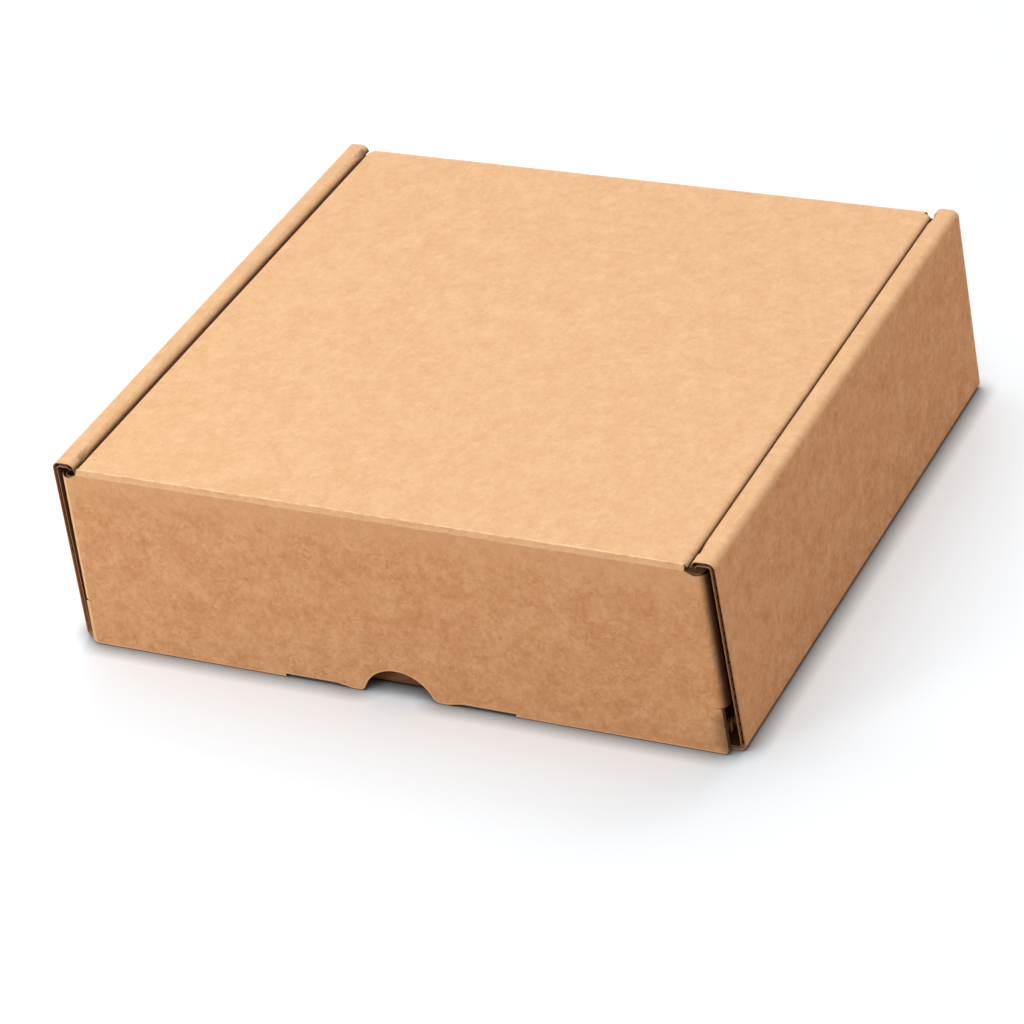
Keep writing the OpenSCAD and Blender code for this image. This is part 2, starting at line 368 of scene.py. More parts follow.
def carton_shade(x, y, depth):
    """Painted shade for a point of the sheet, deep in the double walls and slots where no light gets.
    """
    left, x = x < 0, np.abs(x)
    outside = depth < BOARD / 2
    side = (y > SIDE_FRONT - CUT) & (y < BACK + CUT) & (x > SLIT_X - CUT)
    outer = SLOT_DARK * ramp(x - SIDE_CREASE, *SLOT_RAMP)
    wall = np.where(outside, outer, np.where(left, LEFT_DARK, 1))
    panel_half = np.where(y > BASE_BACK + LID_START, LID_HALF, WALL_HALF)
    loose = ramp(x, panel_half + LOOSE_START, LOOSE_LEN)
    up = BASE_FRONT - y
    foot = FOOT_DARK * (1 - WALL_FADE * ramp(up, *FOOT_RAMP))
    corner = ramp(x, *WALL_END_RAMP) * (1 - WALL_FADE * ramp(up, *CORNER_RAMP))
    front = np.where((up > 0) & outside, np.maximum(foot, corner), 0)
    return np.where(side, wall, np.maximum(loose, front))


def flap_shade(x, y, depth):
    """Painted shade on the ears' folds alone, as the ears come into the light with the flap open."""
    offset = np.stack([y - BASE_BACK - FLAP_START - EAR_MID, np.abs(x) - EAR_CREASE])
    run = np.einsum("i,i...->...", EAR_AXES[0], offset)
    right_fold = ramp(run, *RIGHT_FOLD_RAMP)
    left_fold = LEFT_FOLD_DARK * ramp(run, *LEFT_FOLD_RAMP)
    fade = 1 - EAR_FADE * ramp(run, *EAR_RAMP)
    return np.where(x > 0, right_fold, left_fold) * fade


def mirrored(half):
    """The whole outline, from its right half that starts and ends on the middle line."""
    left = [(-x, y) for x, y in reversed(half) if x > TINY]
    return [tuple(p) for p in half] + left


def tapered(base_x, mid_y, length, width, taper):
    """A loose end that sticks out to the right, from its lower corner round to its upper one."""
    tip = base_x + length
    half = width / 2
    return [
        (base_x, mid_y - half),
        (tip - taper, mid_y - half),
        (tip, mid_y - half + taper),
        (tip, mid_y + half - taper),
        (tip - taper, mid_y + half),
        (base_x, mid_y + half),
    ]


def arc(centre, radius, start, end, count):
    """Points on an arc, with the angles in degrees."""
    angles = np.radians(np.linspace(start, end, count))
    return [(centre[0] + radius * math.cos(a), centre[1] + radius * math.sin(a)) for a in angles]


def carton_outline():
    """The flat sheet up to the middle of the crease between the lid and the front flap."""
    wall_start = BASE_FRONT - FOLD_LEN
    corner_height = EAR_TOP - CORNER_LOW
    corner_mid = CORNER_LOW - FOLD_OUT + corner_height / 2
    top = BASE_FRONT - front_chain.marks[-1]
    half = [(0, top), (WALL_HALF, top)]
    half += tapered(
        WALL_HALF, wall_start - corner_mid, FOLD_LEN + CORNER_LEN, corner_height, CORNER_TAPER
    )
    half += [(WALL_HALF, BASE_FRONT), (SLIT_X, BASE_FRONT), (SLIT_X, SIDE_FRONT)]
    inner_start = SIDE_CREASE + side_chain.marks[-2]
    inner_end = SIDE_CREASE + side_chain.marks[-1]
    tab_tip = inner_end + FOOT_Z - LAYER_GAP
    half += [(inner_start, SIDE_FRONT), (inner_start, INNER_FRONT), (inner_end, INNER_FRONT)]
    for side in (-1, 1):
        mid = INNER_MID + side * TAB_PLACE
        half += [
            (inner_end, mid - TAB_LEN / 2),
            (tab_tip, mid - TAB_LEN / 2 + TAB_TAPER),
            (tab_tip, mid + TAB_LEN / 2 - TAB_TAPER),
            (inner_end, mid + TAB_LEN / 2),
        ]
    half += [(inner_end, INNER_BACK), (inner_start, INNER_BACK), (inner_start, BACK)]
    half += [(SLIT_X, BACK), (SLIT_X, BASE_BACK), (WALL_HALF, BASE_BACK)]
    corner_y = BASE_BACK + FOLD_LEN + corner_mid
    half += tapered(WALL_HALF, corner_y, FOLD_LEN + CORNER_LEN, corner_height, CORNER_TAPER)
    half.append((LID_HALF, half[-1][1]))
    wing = RELIEF - LID_START - EDGE_GAP
    wing_y = BASE_BACK + RELIEF - wing / 2
    half += tapered(LID_HALF, wing_y, FOLD_LEN + WING_DEPTH, wing, WING_TAPER)[:-1]
    edge_x = LID_HALF + EDGE_PART * FOLD_LEN
    half += [
        (edge_x, BASE_BACK + RELIEF),
        (edge_x, BASE_BACK + EDGE_END),
        (LID_HALF, BASE_BACK + EDGE_END),
        (LID_HALF, BASE_BACK + LID_END),
        (CREASE_HALF, BASE_BACK + LID_END),
        (CREASE_HALF, BASE_BACK + CREASE_MID),
        (0, BASE_BACK + CREASE_MID),
    ]
    return half


def tab_slots():
    """The slots in the base that take the tabs of both side walls."""
    reach = TAB_LEN / 2 + LAYER_GAP
    slots = []
    for side in (-1, 1):
        for end in (-1, 1):
            x, y = side * SLOT_X, INNER_MID + end * TAB_PLACE
            slots.append(
                [
                    (x - SLOT_HALF, y - reach),
                    (x + SLOT_HALF, y - reach),
                    (x + SLOT_HALF, y + reach),
                    (x - SLOT_HALF, y + reach),
                ]
            )
    return slots


def flap_outline():
    """The flat front flap with its ears, from the middle of its crease down to its lower edge."""

    def spot(a, b):
        """A flat point, from the distance past the ear's crease and along it."""
        down, across = ear_place(a, b)
        return (across, start + down)

    start = BASE_BACK + FLAP_START
    half = [(0, BASE_BACK + CREASE_MID), (CREASE_HALF, BASE_BACK + CREASE_MID), (CREASE_HALF, start)]
    top, low = EAR_HEIGHT / 2, -EAR_HEIGHT / 2
    tip = ear_chain.marks[-1]
    half += [
        spot(0, top),
        spot(tip - EAR_TAPER, top),
        spot(tip, top - EAR_TAPER),
        spot(tip, low + EAR_TAPER),
        spot(tip - EAR_TAPER, low),
        spot(0, low),
        spot(0, low - CUT),
        spot(RAW_X, low - CUT),
    ]
    end = start + FLAP_RUN
    edge_x = spot(RAW_X, low - (FLAP_RUN - EAR_MID - EAR_HEIGHT / 2))[0]
    corner = (edge_x - FLAP_CORNER_R, end - FLAP_CORNER_R)
    half += arc(corner, FLAP_CORNER_R, 0, 90, CORNER_POINTS)
    half += [
        (RECESS_END, end),
        (RECESS_END, end - RECESS_H),
        (SLOPE_END, end - RECESS_H),
        (LOBE_END, end),
    ]
    lip_turn = math.degrees(math.atan2(NOTCH_X + LIP_R, LIP_END))
    half += arc((LIP_END, end - LIP_R), LIP_R, 90, 180 - lip_turn, LIP_POINTS)
    half += arc((0, end + NOTCH_X), NOTCH_R, -lip_turn, -90, NOTCH_POINTS)[1:]
    return half


def runs(chain):
    """Places along a chain where the mesh has rows: close ones in its folds, wide ones between."""
    result = []
    for i, (start, turn, *_) in enumerate(chain.parts):
        end = chain.marks[i + 1]
        count = FOLD_ROWS if turn else max(1, round((end - start) / PANEL_STEP))
        result += list(np.linspace(start, end, count + 1))
    return np.array(result)


def distinct(values):
    """The values in order, without those that all but repeat another."""
    kept = []
    for v in sorted(values):
        if not kept or v - kept[-1] > ROW_GAP:
            kept.append(float(v))
    return np.array(kept)


def divided(path, lines):
    """A path with a point wherever it crosses one of the lines (a, b, c) with a x + b y = c."""
    result = []
    for p, q in zip(path[:-1], path[1:]):
        p, q = np.array(p), np.array(q)
        result.append(tuple(p))
        slope = lines[:, :2] @ (q - p)
        with np.errstate(divide="ignore", invalid="ignore"):
            t = (lines[:, 2] - lines[:, :2] @ p) / slope
        length = np.linalg.norm(q - p)
        crossed = (np.abs(slope) > TINY * length) & (t * length > ROW_GAP)
        t = t[crossed & ((1 - t) * length > ROW_GAP)]
        for value in distinct(t * length):
            result.append(tuple(p + (q - p) * value / length))
    result.append(tuple(path[-1]))
    return result


def inside(points, loops):
    """Whether each point lies in the loops, with holes counted out."""
    x, y = points[:, 0], points[:, 1]
    result = np.zeros(len(points), bool)
    for loop in loops:
        a = np.array(loop)
        for (x0, y0), (x1, y1) in zip(a, np.roll(a, -1, 0)):
            if y0 != y1:
                crossed = ((y0 > y) != (y1 > y)) & (x < x0 + (x1 - x0) * (y - y0) / (y1 - y0))
                result ^= crossed
    return result


def clear_of(points, loops, distance):
    """Whether each point keeps at least that distance from the loops."""
    result = np.ones(len(points), bool)
    for loop in loops:
        a = np.array(loop)
        for p, q in zip(a, np.roll(a, -1, 0)):
            d = q - p
            t = np.clip(((points - p) @ d) / (d @ d), 0, 1)
            result &= np.linalg.norm(points - p - t[:, None] * d, axis=1) > distance
    return result


def triangles(loops, points, folds):
    """Fills the loops with triangles over the given points, with edges along the folds."""
    points = np.array(points)
    points = points[inside(points, loops)]
    points = points[clear_of(points, loops, EDGE_CLEAR)]
    spots, edges = [], []
    for loop in loops:
        first = len(spots)
        spots += [Vector(p) for p in loop]
        edges += [(first + i, first + (i + 1) % len(loop)) for i in range(len(loop))]
    for fold in folds:
        first = len(spots)
        spots += [Vector(p) for p in fold]
        edges += [(first + i, first + i + 1) for i in range(len(fold) - 1)]
    spots += [Vector(p) for p in points]
    spots, _, faces, *_ = delaunay_2d_cdt(spots, edges, [], 0, TINY)
    flat = np.array([tuple(v) for v in spots])
    faces = np.array(faces)
    faces = faces[inside(flat[faces].mean(1), loops)]
    d1, d2 = flat[faces[:, 1]] - flat[faces[:, 0]], flat[faces[:, 2]] - flat[faces[:, 0]]
    turned = d1[:, 0] * d2[:, 1] < d1[:, 1] * d2[:, 0]
    faces[turned] = faces[turned][:, ::-1]
    return flat, faces


def rim(faces):
    """The edges that belong to one triangle only, with the sheet on their left."""
    seen = set()
    for face in faces.tolist():
        for i in range(3):
            seen.add((face[i], face[(i + 1) % 3]))
    return [e for e in seen if (e[1], e[0]) not in seen]


OUTER, INNER, CUT_EDGE, CORE = range(4)


class Sheet:
    """Gathers the flat points, faces and materials of a piece, and folds them into a mesh."""

    def __init__(self, place, shade):
        self.place, self.shade = place, shade
        self.points, self.faces, self.materials = [], [], []
        self.count = 0

    def add(self, points, faces, material):
        """Adds flat points, and faces that count from the first of them."""
        self.points.append(np.asarray(points, float).reshape(-1, 3))
        self.faces += [tuple(self.count + i for i in face) for face in faces]
        self.materials += [material] * len(faces)
        self.count += len(self.points[-1])

    def liner(self, flat, faces, low, high, low_material, high_material):
        """One paper layer between two depths, closed round its rim."""
        n = len(flat)
        points = np.vstack([np.column_stack([flat, np.full(n, d)]) for d in (low, high)])
        down = [tuple(f[::-1]) for f in faces.tolist()]
        up = [tuple(i + n for i in f) for f in faces.tolist()]
        edge = [(i, j, j + n, i + n) for i, j in rim(faces)]
        first = self.count
        self.add(points, down, low_material)
        for group, material in ((up, high_material), (edge, CUT_EDGE)):
            self.faces += [tuple(first + i for i in face) for face in group]
            self.materials += [material] * len(group)

    def core(self, starts, ends):
        """A fluted layer between two rows of flat points, one wave for each flute's width."""
        rows = np.stack([starts, ends], 1)
        swing = BOARD / 2 - LINER - MEDIUM / 2 - CORE_PLAY
        depth = BOARD / 2 + swing * np.cos(rows[..., 0] * 2 * math.pi / FLUTE)
        corners = [np.dstack([rows, depth + d * MEDIUM / 2]) for d in (-1, 1)]
        points = np.stack(corners, 2).reshape(-1, 3)
        faces = []
        for i in range(len(starts) - 1):
            a, b = 4 * i, 4 * i + 4
            for p, q in ((0, 1), (1, 3), (3, 2), (2, 0)):
                faces.append((a + p, b + p, b + q, a + q))
        last = 4 * (len(starts) - 1)
        faces += [(0, 1, 3, 2), (last, last + 2, last + 3, last + 1)]
        along, across = rows[-1, 0] - rows[0, 0], rows[0, 1] - rows[0, 0]
        if along[0] * across[1] < along[1] * across[0]:
            faces = [f[::-1] for f in faces]
        self.add(points, faces, CORE)

    def core_along(self, loop):
        """Shows the flutes inside every cut, a little way in from the edges of the liners."""
        step = FLUTE / FLUTE_STEPS
        for p, q in zip(np.array(loop), np.roll(loop, -1, 0)):
            dx, dy = q - p
            if abs(dx) > abs(dy):
                starts = np.linspace(p, q, max(1, math.ceil(abs(dx) / step)) + 1)
                starts += (0, math.copysign(CORE_SET_BACK, dx))
                self.core(starts, starts + (0, math.copysign(CORE_REACH, dx)))
            else:
                inward = CORE_SET_BACK + np.arange(0, CORE_REACH, step)
                starts = p + np.outer(inward, (math.copysign(1, -dy), 0))
                self.core(starts, starts + (q - p))

    def piece(self, name, materials):
        """The folded mesh, which keeps each point's place on the flat sheet and its painted shade."""
        flat = np.vstack(self.points)
        mesh = bpy.data.meshes.new(name)
        mesh.from_pydata(self.place(*flat.T).tolist(), [], self.faces)
        mesh.polygons.foreach_set("material_index", self.materials)
        mesh.polygons.foreach_set("use_smooth", [True] * len(self.faces))
        mesh.set_sharp_from_angle(angle=SHARP)
        sheet = mesh.attributes.new("sheet", "FLOAT_VECTOR", "POINT")
        sheet.data.foreach_set("vector", flat.astype(np.float32).ravel())
        shade = mesh.attributes.new("shade", "FLOAT", "POINT")
        shade.data.foreach_set("value", self.shade(*flat.T).astype(np.float32))
        for material in materials:
            mesh.materials.append(material)
        mesh.validate()
        obj = bpy.data.objects.new(name, mesh)
        bpy.context.scene.collection.objects.link(obj)
        return obj


def board(place, shade, half, lines, points, holes=(), folds=()):
    """A piece of board from the right half of its outline, points and slanting folds."""
    whole = mirrored(divided(half, lines))
    points = np.vstack([points, points * (-1, 1)])
    folds = [np.array(fold) * (side, 1) for fold in folds for side in (1, -1)]
    flat, faces = triangles([whole, *holes], points, folds)
    sheet = Sheet(place, shade)
    sheet.liner(flat, faces, 0, LINER, OUTER, CUT_EDGE)
    sheet.liner(flat, faces, BOARD - LINER, BOARD, CUT_EDGE, INNER)
    for loop in (whole, *(hole[::-1] for hole in holes)):
        sheet.core_along(loop)
    return sheet


def grid(xs, ys):
    """A point for each pair of an x and a y."""
    return np.stack(np.meshgrid(xs, ys), -1).reshape(-1, 2)


def grid_lines(xs, ys):
    """The grid's own lines, as (a, b, c) with a x + b y = c."""
    return np.array([(1, 0, x) for x in xs] + [(0, 1, y) for y in ys])


def build_carton():
    """The base, the double side walls, the front and back walls and the lid with its wings."""
    loose = runs(loose_chain)
    xs = distinct(
        [
            *np.arange(0, SIDE_CREASE, PANEL_STEP),
            *(WALL_HALF - WALL_END_ROWS),
            *(WALL_HALF + loose),
            *(LID_HALF + loose),
            *(SIDE_CREASE + runs(side_chain)),
        ]
    )
    cover = runs(cover_chain)
    ys = distinct(
        [
            *(BASE_FRONT - runs(front_chain)),
            *np.linspace(BASE_FRONT, BASE_BACK, BASE_ROWS),
            *(BASE_BACK + cover[cover < CREASE_MID]),
            *(BASE_BACK + LID_END - CREASE_ROWS),
        ]
    )
    lines = grid_lines(xs, ys)
    return board(fold_carton, carton_shade, carton_outline(), lines, grid(xs, ys), tab_slots())


def build_flap():
    """The front flap with its two ears and its half of the crease."""
    cover = runs(cover_chain)
    xs = np.arange(0, HALF_WIDTH, FLAP_STEP)
    ys = distinct(
        [
            *(BASE_BACK + cover[cover > CREASE_MID]),
            *(BASE_BACK + FLAP_START + CREASE_ROWS),
            *(BASE_BACK + FLAP_END - FLAP_EDGE_ROWS),
        ]
    )
    points = grid(xs, ys)
    offset = points[:, ::-1] - (EAR_MID + BASE_BACK + FLAP_START, EAR_CREASE)
    points = points[offset @ EAR_AXES[0] < -EAR_CLEAR]
    loose = distinct(runs(ear_chain))
    along = np.linspace(-EAR_HEIGHT / 2, EAR_HEIGHT / 2, EAR_ROWS)
    start = np.array([0, BASE_BACK + FLAP_START])
    rows = [[ear_place(a, b)[::-1] + start for b in along] for a in loose]
    bent = np.count_nonzero(loose < ear_chain.marks[1] + ROW_GAP)
    lines = [grid_lines(xs, ys)]
    for a in loose:
        down, across = ear_place(a, 0)
        normal = EAR_AXES[0][::-1]
        lines.append([(*normal, normal @ (across, down + BASE_BACK + FLAP_START))])
    points = np.vstack([points, *rows[bent:]])
    lines = np.vstack(lines)
    return board(fold_flap, flap_shade, flap_outline(), lines, points, folds=rows[:bent])


# Colours of the paper and of its cut edges, and the dark tone of the painted shade where no light
# reaches
KRAFT = (0.789, 0.466, 0.242)
INNER_KRAFT = (0.6, 0.35, 0.18)
CUT_LINER = (0.5, 0.31, 0.18)
# The core's dark tone is partly its own and partly painted shade inside the cut
CUT_CORE = (0.2, 0.11, 0.05)
PAINTED_SHADE_TONE = (0.06, 0.026, 0.012)
TINT_PARTS = (0.7, 1.35, 1.8)


def tinted(tone, change):
    """The tone made lighter or darker, with most change in its blue, as kraft paper varies."""
    return tuple(min(1, c * (1 + change * part)) for c, part in zip(tone, TINT_PARTS)) + (1,)


class Shader:
    """A short way to write a material's node tree."""

    def __init__(self, name, roughness, specular=0.25):
        self.material = bpy.data.materials.new(name)
        self.material.use_nodes = True
        self.tree = self.material.node_tree
        self.surface = self.tree.nodes["Principled BSDF"]
        self.surface.inputs["Specular IOR Level"].default_value = specular
        self.surface.inputs["Roughness"].default_value = roughness

    def node(self, kind, settings=None, **inputs):
        """A new node with its settings, and its inputs set to numbers or linked to sockets."""
        made = self.tree.nodes.new("ShaderNode" + kind)
        for key, value in (settings or {}).items():
            setattr(made, key, value)
        for key, value in inputs.items():
            self.put(value, made.inputs[key.replace("_", " ")])
        return made

    def put(self, value, socket):
        """Links a socket, or sets a number."""
        if isinstance(value, bpy.types.NodeSocket):
            self.tree.links.new(value, socket)
        else:
            socket.default_value = value

    def math(self, operation, *values):
        """The result of a math node."""
        made = self.node("Math", {"operation": operation})
        for value, socket in zip(values, made.inputs):
            self.put(value, socket)
        return made.outputs[0]

    def place(self, stretch=(1, 1, 1)):
        """The flat sheet's coordinates, in millimetres, squeezed along each axis."""
        at = self.node("Attribute", {"attribute_name": "sheet"}).outputs["Vector"]
        scaled = self.node("VectorMath", {"operation": "MULTIPLY"})
        self.put(at, scaled.inputs[0])
        scaled.inputs[1].default_value = [1 / MM / s for s in stretch]
        return scaled.outputs[0]

    def noise(self, size, stretch=(1, 1, 1), detail=2.0, roughness=0.5, seed=0.0):
        """Noise from 0 to 1 with features of about the given size in millimetres."""
        made = self.node(
            "TexNoise",
            {"noise_dimensions": "4D"},
            Vector=self.place(stretch),
            Scale=1 / size,
            Detail=detail,
            Roughness=roughness,
            W=seed,
        )
        return made.outputs["Fac"]

    def hairs(self, size, width, seed):
        """Short thin curls, thinned out by a second noise."""
        off = self.math("ABSOLUTE", self.math("SUBTRACT", self.noise(size, detail=1, seed=seed), 0.5))
        kept = self.span(self.noise(HAIR_PATCH * size, seed=seed + PATCH_SEED), 0.5, 0.6)
        return self.math("MULTIPLY", self.span(off, 0, width, 1, 0), kept)

    def span(self, value, low, high, to_low=0.0, to_high=1.0):
        """Goes smoothly from one number to the other as the value goes from low to high."""
        made = self.node("MapRange", {"interpolation_type": "SMOOTHSTEP"})
        for name, number in zip(
            ("Value", "From Min", "From Max", "To Min", "To Max"), (value, low, high, to_low, to_high)
        ):
            self.put(number, made.inputs[name])
        return made.outputs[0]

    def mix(self, factor, a, b, blend="MIX"):
        """The colour a where the factor is 0 and b, or a blended with b, where it is 1."""
        made = self.node("Mix", {"data_type": "RGBA", "blend_type": blend})
        for value, socket in zip((factor, a, b), (made.inputs[0], made.inputs[6], made.inputs[7])):
            self.put(value, socket)
        return made.outputs[2]

    def bump(self, height, distance):
        """Lets a height of 0 to 1 stand for a relief of the given distance."""
        made = self.node("Bump", Height=height, Distance=distance, Strength=1.0)
        self.put(made.outputs[0], self.surface.inputs["Normal"])

    def colour(self, value):
        """Sets the base colour."""
        self.put(value, self.surface.inputs["Base Color"])

    def with_painted_shade(self, value):
        """A colour with painted shade, darker where the board is tucked away and little light gets
        in.
        """
        shade = self.node("Attribute", {"attribute_name": "shade"}).outputs["Fac"]
        return self.mix(shade, value, self.mix(1, value, PAINTED_SHADE_TONE + (1,), "MULTIPLY"))


# The paper's marks: their sizes in millimetres, how much of them shows and how far they tint it
MOTTLE_SIZE, MOTTLE_TINT = 7, 0.14
MOTTLE_LOW, MOTTLE_HIGH = 0.34, 0.66
PALE_HAIR, DARK_HAIR, HAIR_PART, HAIR_TINT = 2.2, 1.8, 0.65, 0.2
SPECK_SIZE, SPECK_PART, SPECK_TINT = 0.8, 0.6, -0.3
CALM = 0.5
PAPER_RELIEF = 0.1 * MM
FIBRE_RELIEF = 0.05 * MM
# The width of a hair in its noise, and the size and seed of the patches that it comes in
HAIR_WIDTH, HAIR_PATCH, PATCH_SEED = 0.06, 1.6, 5
# How far the crease's wear with its painted light, and the painted highlights, tint the paper
WEAR_AND_LIGHT_TINT, HIGHLIGHT_LINE_TINT, EAR_HIGHLIGHT_TINT, LIP_HIGHLIGHT_TINT = 0.14, 0.3, 0.35, 0.24
# The place of each painted highlight line beside the front crease in millimetres, and how much of it
# shows
CREASE_HIGHLIGHT_LINES = ((-1.1, 1), (1.1, 0.5))
EAR_HIGHLIGHT_PLACE = 1.6
CREASE_WANDER = 1.2


def marks_strength(s, across, along):
    """How strong the marks are: all of them on the walls, fewer on the lid and the rolled tops."""
    start, end = (BASE_BACK + LID_START) / MM, (BASE_BACK + LID_END) / MM
    behind = s.span(along, start - 2, start, 1, CALM)
    before = s.span(along, end, end + 1.5, CALM, 1)
    roll = (SIDE_CREASE + side_chain.marks[2]) / MM
    beside = s.span(s.math("ABSOLUTE", across), roll - 1, roll + 1, 1, CALM)
    return s.math("MINIMUM", s.math("MAXIMUM", behind, before), beside)


def kraft(name, tone):
    """Kraft paper: mottled at all scales, with short fibres and specks, and smoothest on the lid."""
    s = Shader(name, roughness=0.75)
    across, along, _ = s.node("SeparateXYZ", Vector=s.place()).outputs
    strength = marks_strength(s, across, along)
    mottle = s.noise(MOTTLE_SIZE, detail=3, roughness=0.95, seed=3)
    mottle = s.node("MapRange", Value=mottle, From_Min=MOTTLE_LOW, From_Max=MOTTLE_HIGH)
    mottle = mottle.outputs[0]
    mottle = s.math("MULTIPLY", s.math("SUBTRACT", mottle, 0.5), strength)
    pale = s.math("MULTIPLY", s.hairs(PALE_HAIR, HAIR_WIDTH, seed=1), strength)
    dark = s.math("MULTIPLY", s.hairs(DARK_HAIR, HAIR_WIDTH, seed=2), strength)
    tints = tinted(tone, -MOTTLE_TINT), tinted(tone, MOTTLE_TINT)
    colour = s.mix(s.math("ADD", mottle, 0.5), *tints)
    colour = s.mix(s.math("MULTIPLY", pale, HAIR_PART), colour, tinted(tone, HAIR_TINT))
    colour = s.mix(s.math("MULTIPLY", dark, HAIR_PART), colour, tinted(tone, -HAIR_TINT))
    specks = s.span(s.noise(SPECK_SIZE, detail=1, seed=4), 0.7, 0.76)
    colour = s.mix(s.math("MULTIPLY", specks, SPECK_PART), colour, tinted(tone, SPECK_TINT))
    height = s.math("ADD", mottle, s.math("MULTIPLY", s.math("SUBTRACT", pale, dark), 0.5))
    s.bump(height, PAPER_RELIEF)
    return s, colour, across, along


def crease_wear_and_highlights(s, colour, tone, off):
    """The front crease, worn pale in patches, with two painted highlight lines and painted light
    below it.
    """
    patches = s.span(s.noise(1.6, (1.8, 1, 1), 3, seed=6), 0.35, 0.65)
    worn = s.span(s.math("ABSOLUTE", off), 0.8, 1.6, 1, 0)
    worn = s.math("MULTIPLY", worn, s.span(patches, 0, 1, 0, 0.6))
    # Painted light: the flap is paler for a stretch below the crease, as if it caught more light
    # there
    painted_light_below = s.math("MULTIPLY", s.span(off, 2, 14, 0.5, 0), s.math("GREATER_THAN", off, 0.0))
    colour = s.mix(s.math("MAXIMUM", worn, painted_light_below), colour, tinted(tone, WEAR_AND_LIGHT_TINT))
    # Two painted highlight lines along the crease's edges
    for place, part in CREASE_HIGHLIGHT_LINES:
        highlight_line = s.span(s.math("ABSOLUTE", s.math("SUBTRACT", off, place)), 0.2, 0.6, part, 0)
        colour = s.mix(s.math("MULTIPLY", highlight_line, patches), colour, tinted(tone, HIGHLIGHT_LINE_TINT))
    return colour


def ear_fold_highlight(s, colour, tone, across, along, on_flap):
    """A painted highlight along the left ear's fold, which catches the light."""
    crease = Vector((EAR_CREASE, BASE_BACK + FLAP_START + EAR_MID)) / MM
    lean = Vector(EAR_AXES[0][::-1])
    out = s.math("ABSOLUTE", across)
    past = s.math("ADD", s.math("MULTIPLY", out, lean.x), s.math("MULTIPLY", along, lean.y))
    off = s.math("ABSOLUTE", s.math("SUBTRACT", past, crease.dot(lean) + EAR_HIGHLIGHT_PLACE))
    highlight_line = s.math("MULTIPLY", s.span(off, 0.3, 0.9, 1, 0), on_flap)
    highlight_line = s.math("MULTIPLY", highlight_line, s.math("LESS_THAN", across, 0.0))
    return s.mix(highlight_line, colour, tinted(tone, EAR_HIGHLIGHT_TINT))


def lip_highlight(s, colour, tone, across, along):
    """A painted highlight along the flap's cut edge, round the thumb notch and the recesses beside
    it.
    """
    across = s.math("ABSOLUTE", across)
    height = s.math("SUBTRACT", (BASE_BACK + FLAP_END) / MM, along)
    rise = s.node(
        "MapRange",
        Value=across,
        From_Min=LOBE_END / MM,
        From_Max=SLOPE_END / MM,
        To_Max=RECESS_H / MM,
    ).outputs[0]
    rise = s.math("MULTIPLY", rise, s.math("LESS_THAN", across, RECESS_END / MM))
    down = s.math("ADD", height, NOTCH_X / MM)
    reach = s.math("SQRT", s.math("ADD", s.math("POWER", across, 2), s.math("POWER", down, 2)))
    from_notch = s.math("SUBTRACT", reach, NOTCH_R / MM)
    away = s.math("MINIMUM", from_notch, s.math("SUBTRACT", height, rise))
    return s.mix(s.span(away, 0.2, 0.6, 0.9, 0), colour, tinted(tone, LIP_HIGHLIGHT_TINT))


def outer_kraft(name, tone):
    """Outer paper: worn crease, painted highlights on crease, ear fold and cut edge, and painted
    shade.
    """
    s, colour, across, along = kraft(name, tone)
    wander = s.math("MULTIPLY", s.math("SUBTRACT", s.noise(4), 0.5), CREASE_WANDER)
    off = s.math("ADD", s.math("SUBTRACT", along, (BASE_BACK + CREASE_MID) / MM), wander)
    colour = crease_wear_and_highlights(s, colour, tone, off)
    on_flap = s.math("GREATER_THAN", off, 0.0)
    colour = ear_fold_highlight(s, colour, tone, across, along, on_flap)
    colour = lip_highlight(s, colour, tone, across, along)
    s.colour(s.with_painted_shade(colour))
    return s.material


def inner_kraft(name, tone):
    """The inner paper, which shows only inside and on the ears and wings, with painted shade."""
    s, colour, *_ = kraft(name, tone)
    s.colour(s.with_painted_shade(colour))
    return s.material


def cut_paper(name, tone, takes_painted_shade=False):
    """The raw edge of a paper layer, with the ends of its fibres. It may take painted shade."""
    s = Shader(name, roughness=0.92, specular=0.1)
    ends = s.noise(0.35, (2, 1, 0.5), 3)
    colour = s.mix(s.span(ends, 0.3, 0.7), tinted(tone, -0.2), tone + (1,))
    s.colour(s.with_painted_shade(colour) if takes_painted_shade else colour)
    s.bump(ends, FIBRE_RELIEF)
    return s.material


outer = outer_kraft("kraft_outer", KRAFT)
inner = inner_kraft("kraft_inner", INNER_KRAFT)
# The core and the flap's cut liners take painted shade, the carton's cut liners don't
core = cut_paper("fluted_core", CUT_CORE, takes_painted_shade=True)
carton_liner = cut_paper("cut_liner", CUT_LINER)
flap_liner = cut_paper("flap_cut_liner", CUT_LINER, takes_painted_shade=True)
carton = build_carton().piece("carton_board", [outer, inner, carton_liner, core])
front_flap = build_flap().piece("front_flap_board", [outer, inner, flap_liner, core])
for piece, body, node in ((carton, "carton", "box"), (front_flap, "flap", "front_flap")):
    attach(piece, body)
    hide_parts(node)


# The floor fills the whole picture. It shows near white, and its bounce on the box stays soft and
# warm. Close under the box it takes a painted contact shadow, where the box touches it.
FLOOR_SIZE = 12
FLOOR_SEEN = (0.915, 0.965, 1)
FLOOR_BOUNCE = (0.62, 0.38, 0.24)
CONTACT_SHADOW_REACH = 7 * MM
CONTACT_SHADOW_POWER = 1.6


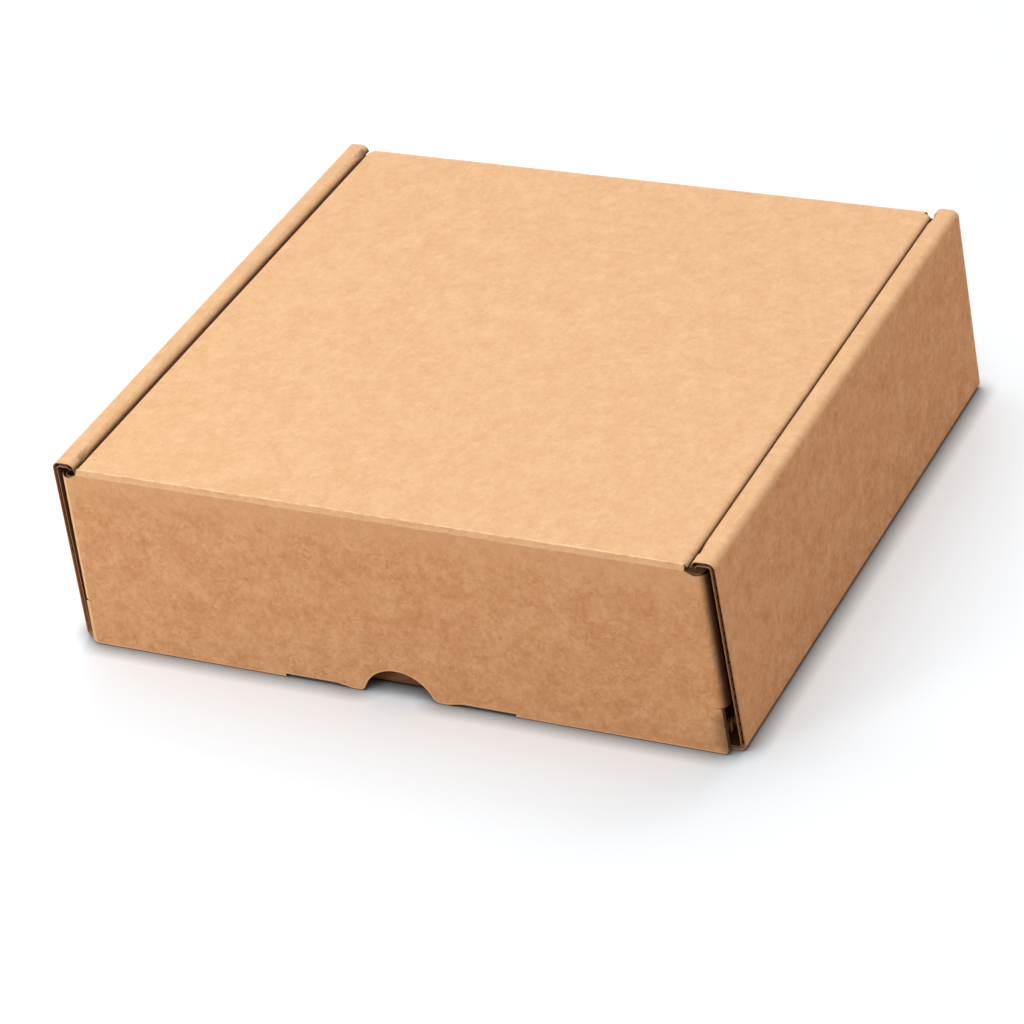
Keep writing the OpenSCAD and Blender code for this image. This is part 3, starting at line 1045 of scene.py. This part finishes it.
def build_floor():
    """A plain floor, which takes the box's shadow and a painted contact shadow close under it."""
    bpy.ops.mesh.primitive_plane_add(size=FLOOR_SIZE)
    floor = bpy.context.object
    floor.name = "floor"
    s = Shader("pale_floor", roughness=1.0, specular=0.0)
    path = s.node("LightPath")
    seen = s.math("MAXIMUM", path.outputs["Is Camera Ray"], path.outputs["Is Glossy Ray"])
    seen = s.math("MAXIMUM", seen, path.outputs["Is Transmission Ray"])
    # Painted contact shadow: darker where the box hides the floor close by
    free = s.node("AmbientOcclusion", {"samples": 8}, Distance=CONTACT_SHADOW_REACH).outputs["AO"]
    pale = s.mix(s.math("POWER", free, CONTACT_SHADOW_POWER), (0, 0, 0, 1), FLOOR_SEEN + (1,))
    s.colour(s.mix(seen, FLOOR_BOUNCE + (1,), pale))
    floor.data.materials.append(s.material)


build_floor()

# The camera, fitted to the photograph's straight edges. Its focal length is in pixels.
CAMERA_AT = Vector((0.50994, -0.86964, 0.67397))
CAMERA_FORWARD = Vector((-0.42713, 0.71373, -0.55511))
CAMERA_ROLL = math.radians(-9.68)
PICTURE = 1024
FOCAL_PIXELS = 3946.8
SENSOR_WIDTH = 36


def build_camera():
    """The camera at the photograph's angle."""
    data = bpy.data.cameras.new("camera")
    data.sensor_width = SENSOR_WIDTH
    data.lens = FOCAL_PIXELS / PICTURE * SENSOR_WIDTH
    camera = bpy.data.objects.new("camera", data)
    bpy.context.scene.collection.objects.link(camera)
    turn = CAMERA_FORWARD.to_track_quat("-Z", "Y").to_matrix().to_4x4()
    camera.matrix_world = Matrix.Translation(CAMERA_AT) @ turn @ Matrix.Rotation(CAMERA_ROLL, 4, "Z")
    bpy.context.scene.camera = camera


# Soft boxes far away, with the direction towards each, its angle and its share of a plain light
FAR_LIGHTS = {
    "back": (92, 31, 60, 0.38),
    "left": (148, 60, 60, 0.29),
    "right": (315, 60, 60, 0.31),
    "above": (0, 90, 90, 0.27),
}
# Two lamps near the left front corner, with the place and watts of each. They aim at the box's
# middle and make the front wall fade to the right.
NEAR_LIGHTS = {
    "front_left": ((-0.35, -0.6, 0.3), 1.17),
    "side_left": ((-0.6, -0.1, 0.35), 0.44),
}
NEAR_SIZE = 0.3
NEAR_AIM = Vector((0, 0, 0.03))
WORLD_LIGHT = 0.05


def add_lamp(data, towards, place=(0, 0, 0)):
    """A lamp at the place, whose light comes from the given direction."""
    lamp = bpy.data.objects.new(data.name, data)
    lamp.location = place
    lamp.rotation_euler = towards.to_track_quat("Z", "Y").to_euler()
    bpy.context.scene.collection.objects.link(lamp)


def build_light():
    """A plain soft studio."""
    world = bpy.data.worlds.new("studio")
    world.use_nodes = True
    background = world.node_tree.nodes["Background"]
    background.inputs["Color"].default_value = (1, 1, 1, 1)
    background.inputs["Strength"].default_value = WORLD_LIGHT
    bpy.context.scene.world = world
    for name, (turn, height, angle, share) in FAR_LIGHTS.items():
        data = bpy.data.lights.new(name, "SUN")
        data.energy = share * math.pi
        data.angle = math.radians(angle)
        turn, height = math.radians(turn), math.radians(height)
        flat = math.cos(height)
        add_lamp(data, Vector((flat * math.cos(turn), flat * math.sin(turn), math.sin(height))))
    for name, (place, watts) in NEAR_LIGHTS.items():
        data = bpy.data.lights.new(name, "AREA")
        data.shape = "DISK"
        data.size = NEAR_SIZE
        data.energy = watts
        add_lamp(data, Vector(place) - NEAR_AIM, place)


build_camera()
build_light()
bpy.context.scene.view_settings.view_transform = "Standard"
